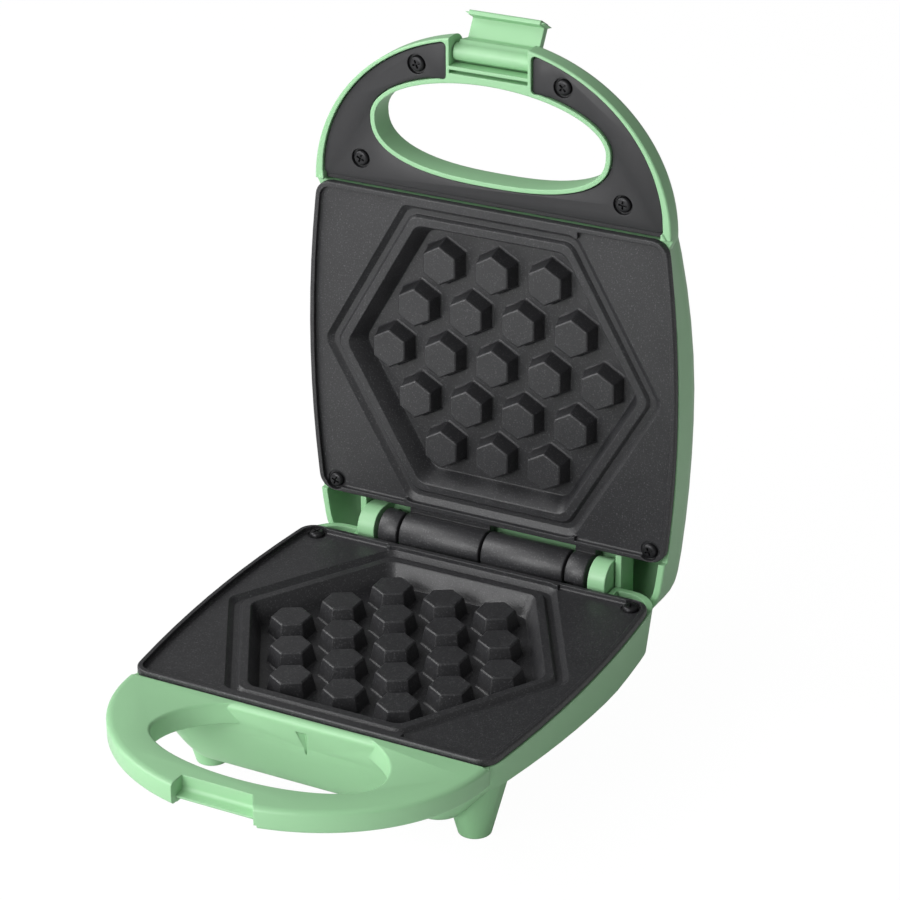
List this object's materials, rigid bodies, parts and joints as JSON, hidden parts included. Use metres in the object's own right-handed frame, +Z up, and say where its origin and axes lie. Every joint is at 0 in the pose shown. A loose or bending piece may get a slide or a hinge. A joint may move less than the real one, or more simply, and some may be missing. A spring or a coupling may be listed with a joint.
{
  "type": "waffle maker",
  "caption": "Compact countertop waffle maker with a hinged lid, hexagonal studded plates, loop handles and a flip-over latch",
  "frame": {"origin": "middle of the bounding box on the surface that the feet stand on, with the lid open at a right angle", "axes": "+Z up, front with the handles' opening side toward -Y, hinge axis along X"},
  "size_m": [0.1408, 0.2154, 0.233],
  "materials": {
    "green_shell": "smooth satin, pastel green",
    "black_cover": "fine matte",
    "non_stick_coating": "speckled non-stick coating on cast aluminium",
    "blackened_steel": "blackened",
    "steel_pins": "ground",
    "tinned_steel": "pressed sheet",
    "element_sheath": "drawn tube",
    "rubber": "matt",
    "phenolic": "moulded phenolic",
    "lead_sleeve": "woven heat sleeve",
    "lamp_glass": "clear",
    "red_lens": "translucent red",
    "green_lens": "translucent green"
  },
  "bodies": {
    "base": {"base_housing": "green_shell", "lower_plate": "non_stick_coating", "lower_plate_screw_left": "blackened_steel", "lower_plate_screw_right": "blackened_steel", "lower_shield_screw_left": "blackened_steel", "lower_shield_screw_right": "blackened_steel", "hinge_pin": "steel_pins", "lower_heat_shield": "tinned_steel", "lower_heating_element": "element_sheath", "foot_pad_1": "rubber", "foot_pad_2": "rubber", "foot_pad_3": "rubber", "foot_pad_4": "rubber", "cord_gland": "rubber", "thermostat": "phenolic", "terminal_block": "phenolic", "link_lead": "lead_sleeve"},
    "lid": {"lid_housing": "green_shell", "lid_handle_cover": "black_cover", "cover_screw_1": "blackened_steel", "cover_screw_2": "blackened_steel", "cover_screw_3": "blackened_steel", "cover_screw_4": "blackened_steel", "upper_plate": "non_stick_coating", "upper_plate_screw_left": "blackened_steel", "upper_plate_screw_right": "blackened_steel", "upper_heating_element": "element_sheath", "upper_heat_shield": "tinned_steel", "upper_shield_screw_left": "blackened_steel", "upper_shield_screw_right": "blackened_steel", "thermal_fuse": "tinned_steel", "power_lens": "red_lens", "ready_lens": "green_lens", "power_lamp": "lamp_glass", "ready_lamp": "lamp_glass", "latch_pin": "steel_pins"},
    "latch": {"latch": "green_shell"}
  },
  "joints": [
    {"name": "lid_hinge", "type": "hinge", "parent": "base", "child": "lid", "pos_m": [0, 0.07556, 0.0417], "axis": [1, 0, 0], "range_deg": [0, 90], "deforming": ["link_lead"]},
    {"name": "latch_pivot", "type": "hinge", "parent": "lid", "child": "latch", "pos_m": [0, 0.08186, 0.221], "axis": [1, 0, 0], "range_deg": [0, 121]}
  ]
}
